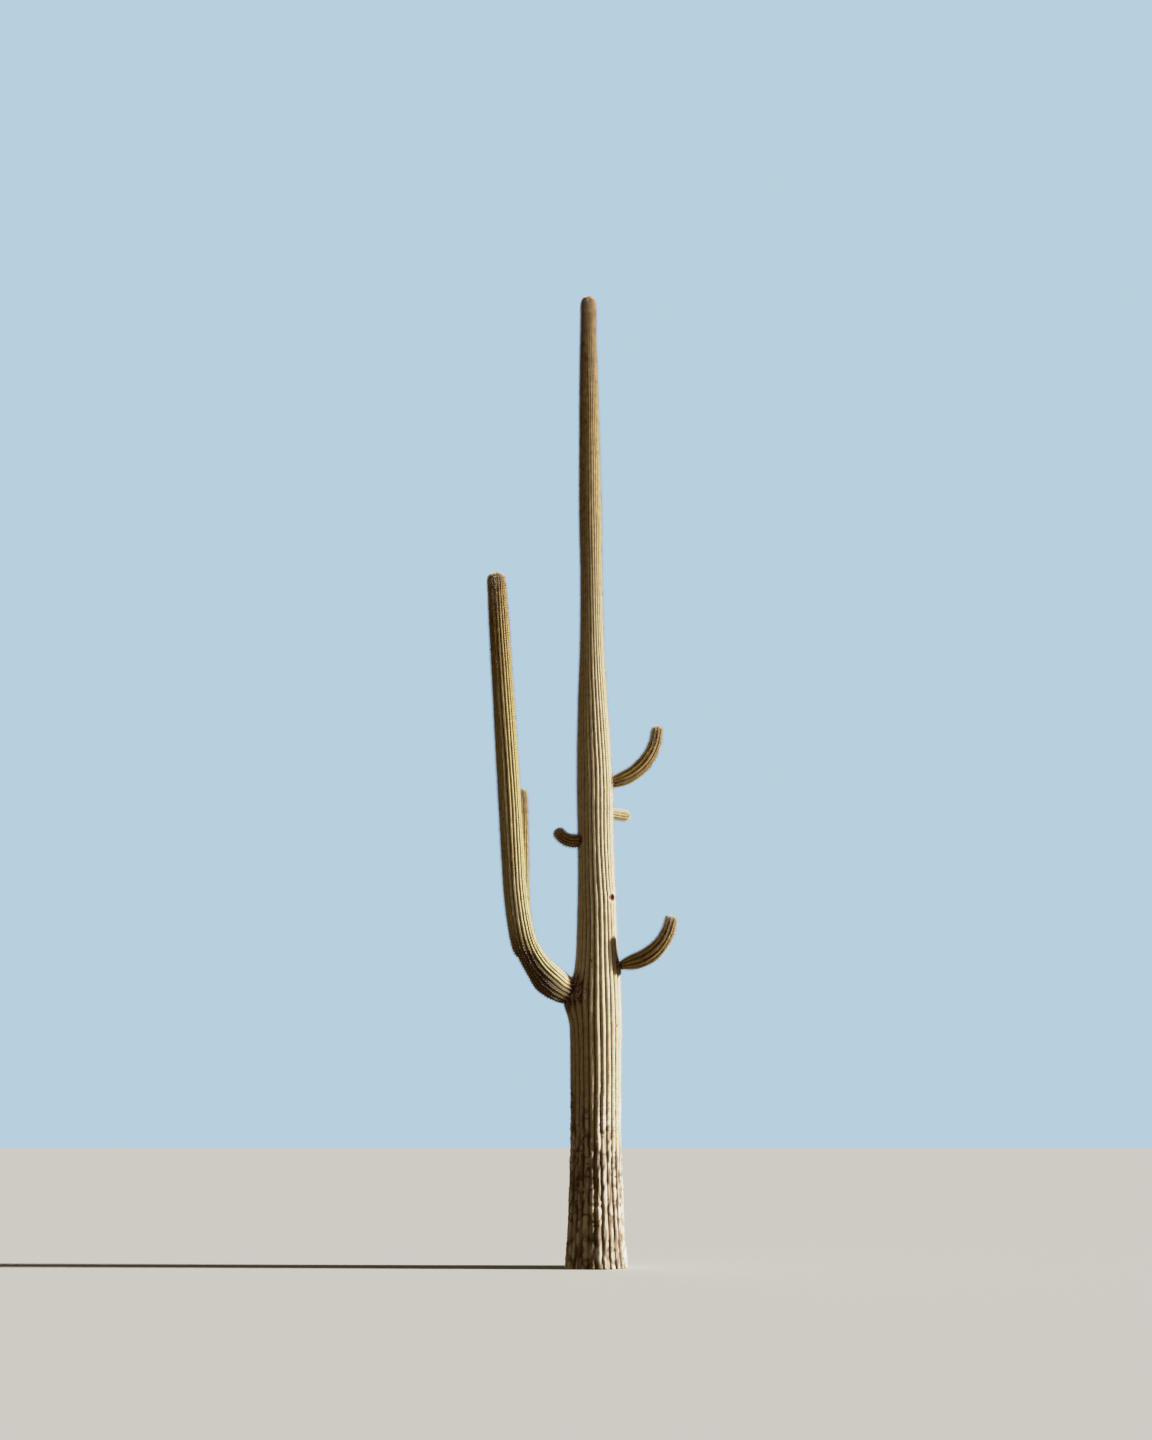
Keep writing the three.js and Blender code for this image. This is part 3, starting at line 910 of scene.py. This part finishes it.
def clear_of_arms(places):
    """Which places on the trunk no arm's root covers."""
    clear = np.ones(len(places), bool)
    for name in arms:
        rings = stems[name]["rings"]
        root = rings["distance"] < root_length
        away = np.linalg.norm(places[:, None] - rings["centre"][root][None], axis=-1)
        clear &= (away > rings["radius"][root] * 0.95).all(axis=1)
    return clear


areoles = []
for name, stem in stems.items():
    rows = areoles_of(stem)
    places = rows[:, :3]
    if name == "trunk":
        on_cork = 1 - smooth_steps(1.1, 2.3, places[:, 2] + chance.normal(0, 0.15, len(rows)))
        keep = clear_of_arms(places) & (chance.random(len(rows)) > on_cork)
        keep &= np.linalg.norm(places - hole_place, axis=-1) > 0.06
    else:
        keep = outside_trunk(places) > 0.02
    # Near the apex the crests run together, so only some of their areoles have room
    keep &= chance.random(len(rows)) < rows[:, 10] / 0.012
    areoles.append(rows[keep])
areoles = np.concatenate(areoles)
areole_place = areoles[:, :3]
areole_out = unit(areoles[:, 3:6])
areole_side = unit(np.cross(areoles[:, 6:9], areole_out))
areole_up = np.cross(areole_out, areole_side)
areole_growth = areoles[:, 9]
# Distance from one crest to the next
areole_pitch = areoles[:, 10]
to_tip = areoles[:, 11]


def horn(name, colour):
    """Dry horn, as of a fingernail: a plain colour with a low sheen."""
    return new_material(name, {"Base Color": linear(colour), "Roughness": 0.55, "IOR": 1.54})[0]


def felt(name, colour):
    """Short matted wool, which has hardly any gloss."""
    settings = {"Base Color": linear(colour), "Roughness": 1.0, "Specular IOR Level": 0.1}
    return new_material(name, settings)[0]


def tint_of(growth, count):
    """A tint's number for each areole, from old to young, with neighbours mixed; the last is rusty."""
    drawn = growth * (count - 2) + chance.normal(0, 0.55, len(growth))
    tint = np.clip(np.rint(drawn), 0, count - 2).astype(int)
    # Near the tips whole patches of about 70 mm are rusty
    patch = lumps(areole_place, (0.07, 0.07, 0.07), 2.6) + chance.normal(0, 0.08, len(growth))
    return np.where(patch > 0.66 - 0.42 * smooth_steps(0.6, 0.95, growth), count - 1, tint)


def add_in_pieces(name, points, corners, tints, materials):
    """Like small things joined into pieces: points as things by points, one tint for each thing."""
    per_thing = len(corners)
    points = np.clip(points, np.array(cad_low) + box_inset, np.array(cad_high) - box_inset)
    things = most_triangles // per_thing
    for order, first in enumerate(range(0, len(points), things), start=1):
        part = points[first:first + things]
        offsets = np.arange(len(part))[:, None, None] * part.shape[1]
        triangles = (np.array(corners)[None] + offsets).reshape(-1, 3)
        part_tints = np.repeat(tints[first:first + things], per_thing)
        piece = add_mesh(f"{name}_{order}", part.reshape(-1, 3), triangles, materials, False, part_tints)
        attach(piece, "root")


def add_felt():
    """A low oval pad on each crest point, with its root just under the skin."""
    turns = np.arange(6) * math.pi / 3
    rim = areole_up[:, None] * (np.cos(turns) * felt_length / 2)[None, :, None] \
        + areole_side[:, None] * (np.sin(turns) * felt_length / 3)[None, :, None]
    size = chance.uniform(0.8, 1.2, len(areoles))[:, None, None]
    rim = areole_place[:, None] + rim * size - areole_out[:, None] * 0.002
    top = areole_place + areole_out * felt_height
    points = np.concatenate([rim, top[:, None]], axis=1)
    corners = [(step, (step + 5) % 6, 6) for step in range(6)]
    tints = ["#9a8e7d", "#a99a82", "#b39d6f", "#b0935a", "#b99c66", "#946f42"]
    materials = [felt(f"areole_felt_{order}", colour) for order, colour in enumerate(tints, start=1)]
    add_in_pieces("areole_felt", points, corners, tint_of(areole_growth, 6), materials)


def needles(roots, headings, beside, thickness, lengths):
    """Three-sided needles, each as the three points of its foot and its tip."""
    across = unit(np.cross(headings, beside + 0.01))
    beneath = np.cross(headings, across)
    turns = np.arange(3) * 2 * math.pi / 3
    foot = [roots + (across * math.cos(a) + beneath * math.sin(a)) * thickness / 2 for a in turns]
    return np.stack([*foot, roots + headings * lengths[..., None]], axis=-2)


def add_spines(name, turns, lifts, lengths, thickness, pitch_share, tints):
    """A spine for each turn round the areole, at a lift above the skin, as a three-sided needle."""
    count = len(turns)
    shape = (len(areoles), count)
    turn = turns + chance.normal(0, turn_stray, shape)
    lift = lifts + chance.normal(0, lift_stray, shape)
    # Spines on young skin stand up more, and on old skin they are worn short
    lift = lift + 0.25 * smooth_steps(0.8, 1.0, areole_growth)[:, None]
    worn = 0.55 + 0.45 * smooth_steps(0.05, 0.4, areole_growth)[:, None]
    young = smooth_steps(0.88, 1.0, areole_growth)[:, None]
    longest = areole_pitch[:, None] * pitch_share + 0.016 * young
    length = np.minimum(lengths * (worn + 0.25 * young), longest) * chance.uniform(0.75, 1.2, shape)
    flat = turned(areole_up[:, None], areole_side[:, None], turn)
    heading = turned(flat, areole_out[:, None], lift)
    root = areole_place[:, None] + flat * 0.003 + areole_out[:, None] * 0.001
    points = needles(root, heading, areole_out[:, None], thickness, length)
    firsts = np.repeat(np.arange(count) * 4, len(needle_sides))
    corners = np.tile(needle_sides, (count, 1)) + firsts[:, None]
    materials = [horn(f"{name}_{order}", colour) for order, colour in enumerate(tints, start=1)]
    points = points.reshape(len(areoles), count * 4, 3)
    add_in_pieces(name, points, corners, tint_of(areole_growth, len(tints)), materials)


add_felt()
radial_turns = np.arange(radial_count) * 2 * math.pi / radial_count + 0.3
add_spines("radial_spines", radial_turns, np.full(radial_count, 0.5), np.full(radial_count, radial_length),
           radial_thickness, 0.36, ["#f3ece0", "#f0e7d5", "#e6d8b2", "#d3b878", "#d9c08a", "#a07442"])
# The central spines stand nearly straight out, and the longest of them points down the stem
add_spines("central_spines", np.array([math.pi, 0.0, 0.9, -0.9, 2.2, -2.2]),
           np.array([0.8, 1.3, 1.2, 1.2, 1.25, 1.25]),
           central_length * np.array([1.1, 0.8, 0.9, 0.9, 0.75, 0.75]), central_thickness, 1.0,
           ["#e4dac8", "#e2d6bc", "#d8c698", "#c4a460", "#cfb27a", "#8f6536"])


def add_crowns():
    """The young spines near a tip: many more to each areole, pale, and standing out all round."""
    crowned = np.repeat(np.flatnonzero(to_tip < crown_fullness[0][-1]), crown_count)
    keep = chance.random(len(crowned)) < np.interp(to_tip[crowned], *crown_fullness)
    crowned = crowned[keep]
    count = len(crowned)
    flat = turned(areole_up[crowned], areole_side[crowned], chance.uniform(0, 2 * math.pi, count))
    heading = turned(flat, areole_out[crowned], chance.uniform(0.5, 1.4, count))
    root = areole_place[crowned] + flat * chance.uniform(0, 0.008, count)[:, None]
    length = crown_length * chance.uniform(0.7, 1.15, count)
    points = needles(root, heading, areole_up[crowned], crown_thickness, length)
    tints = chance.integers(0, 2, count)
    materials = [horn("young_spines_1", "#faf5ea"), horn("young_spines_2", "#f3e9d7")]
    add_in_pieces("young_spines", points, needle_sides, tints, materials)


add_crowns()


# Woolly tips
# Each stem ends in its growing point, a shallow dimple filled with cream and rosy wool out of which
# the youngest spines push.
wool_radius = 0.028
wool_height = 0.014
wool_relief = 0.0025
wool_points_round = 24
wool_rows = 7
wool_foot = 0.006


def grained_material(name, settings, grain, detail, colours, bump_strength=0.0, bump_height=0.0):
    """A material coloured in grains of a size in metres, which stand up where a bump is given."""
    material, tree, shader = new_material(name, settings)
    place = add_node(tree, "ShaderNodeTexCoord").outputs["Object"]
    grains = grains_of(tree, place, grain, detail)
    join_surface(tree, shader, ramp(tree, grains, colours), grains, bump_strength, bump_height)
    return material


def wool_material():
    """Fresh areole wool: cream with a rosy cast, soft and matt, in tufts of 4 mm."""
    colours = [(0.3, "#b08a6c"), (0.55, "#ceb394"), (0.75, "#e6d6bd")]
    settings = {"Roughness": 1.0, "Sheen Weight": 0.4}
    return grained_material("tip_wool", settings, 0.004, 3.0, colours, 0.6, 0.003)


def add_wool(name, stem, material):
    """A low lumpy dome of wool over a stem's apex."""
    rings = stem["rings"]
    along = rings["along"][-1]
    levels = np.linspace(0, 0.95, wool_rows) * math.pi / 2
    spread = np.cos(levels)[:, None] * wool_radius
    height = np.sin(levels)[:, None] * wool_height
    flat = turned(rings["side"][-1], rings["over"][-1], circle(wool_points_round))
    points = rings["apex"] + flat[None] * spread[..., None] + along * (height[..., None] - wool_foot)
    outward = unit(points - rings["apex"] + along * 0.01)
    points = points + outward * (wool_relief * lumps(points, (0.006,) * 3))[..., None]
    ends = [points[0].mean(axis=0), points[-1].mean(axis=0) + along * 0.0005]
    mesh_points = np.concatenate([points.reshape(-1, 3), ends])
    mesh_points = np.minimum(mesh_points, np.array(cad_high) - box_inset)
    return add_mesh(name, mesh_points, skin_triangles(wool_rows, wool_points_round), [material])


tip_wool = wool_material()
for name, stem in stems.items():
    wool = add_wool(f"{name}_tip_wool", stem, tip_wool)
    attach(wool, "root")


# Flower bud
# One scaly green bud has pushed out beside the tip of the lower right arm. It is fleshy and waxy, and
# its scales overlap from the foot to the point.
bud_near = (0.830, -0.160, 3.985)
bud_length = 0.046
bud_radius = 0.015
bud_foot = 0.008
bud_rows = 17
bud_points_round = 24


def bud_scales():
    """Young bud scales: fresh waxy green with reddish tips, smooth and a little glossy."""
    colours = [(0.35, "#6f8a3c"), (0.6, "#93a957"), (0.75, "#a5714a")]
    return grained_material("bud_scales", {"Roughness": 0.45, "IOR": 1.45}, 0.006, 1.0, colours)


def add_bud(stem):
    """An egg-shaped bud with stepped scales, standing on the skin's nearest point."""
    points = stem["points"].reshape(-1, 3)
    nearest = np.argmin(np.linalg.norm(points - bud_near, axis=1))
    foot = points[nearest]
    out = stem["normals"].reshape(-1, 3)[nearest]
    side = unit(np.cross(out, (0.0, 1.0, 0.0)))
    over = np.cross(out, side)
    share = np.linspace(0, 0.98, bud_rows)[:, None]
    turn = circle(bud_points_round)[None]
    scales = 1 + 0.12 * np.abs(np.sin(share * 9 + turn * 2)) + 0.08 * np.sin(turn * 5)
    radius = bud_radius * np.sin(math.pi * (0.16 + 0.84 * share)) ** 0.7 * scales
    height = bud_length * share - bud_foot
    shape = foot + out * (height + 0 * turn)[..., None] \
        + side * (radius * np.cos(turn))[..., None] + over * (radius * np.sin(turn))[..., None]
    ends = [foot - out * bud_foot, foot + out * (bud_length - bud_foot)]
    mesh_points = np.concatenate([shape.reshape(-1, 3), ends])
    return add_mesh("flower_bud", mesh_points, skin_triangles(bud_rows, bud_points_round), [bud_scales()])


flower_bud = add_bud(stems["lower_right_arm"])
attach(flower_bud, "root")


# Nest hole's lip
# The plant walls off a woodpecker's hole with hard cork, which shows as a thick pinkish-brown lip.
lip_radius = 0.040
lip_thickness = 0.022
lip_sunk = 0.004
lip_points_along = 40
lip_points_across = 12


def lip_cork():
    """Callus cork: pinkish brown, dull and finely cracked."""
    colours = [(0.3, "#4a2f20"), (0.5, "#8a6450"), (0.72, "#b08d74")]
    return grained_material("callus_cork", {"Roughness": 0.85}, 0.006, 4.0, colours, 0.7, 0.004)


def add_lip():
    """A lumpy ring let into the skin round the hole."""
    out, side = compass(nest_hole["bearing"])
    round_hole = circle(lip_points_along)[:, None]
    round_lip = circle(lip_points_across)[None]
    on_circle = np.stack([np.cos(round_hole), np.sin(round_hole), 0 * round_hole], -1)
    swell = 1 + 0.25 * lumps(on_circle, (0.5,) * 3)
    spread = lip_radius + lip_thickness / 2 * swell * np.cos(round_lip)
    stand = lip_thickness / 2 * swell * np.sin(round_lip) - lip_sunk
    points = hole_place + turned(side, upward, round_hole) * spread[..., None] + out * stand[..., None]
    here = np.arange(points[..., 0].size).reshape(points.shape[:2])
    beside = np.roll(here, -1, axis=1)
    ahead = np.roll(here, -1, axis=0)
    across = np.roll(beside, -1, axis=0)
    triangles = np.concatenate([
        np.stack(corners, -1).reshape(-1, 3) for corners in ((here, beside, across), (here, across, ahead))
    ])
    return add_mesh("nest_hole_lip", points.reshape(-1, 3), triangles[:, ::-1], [lip_cork()])


nest_lip = add_lip()
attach(nest_lip, "root")
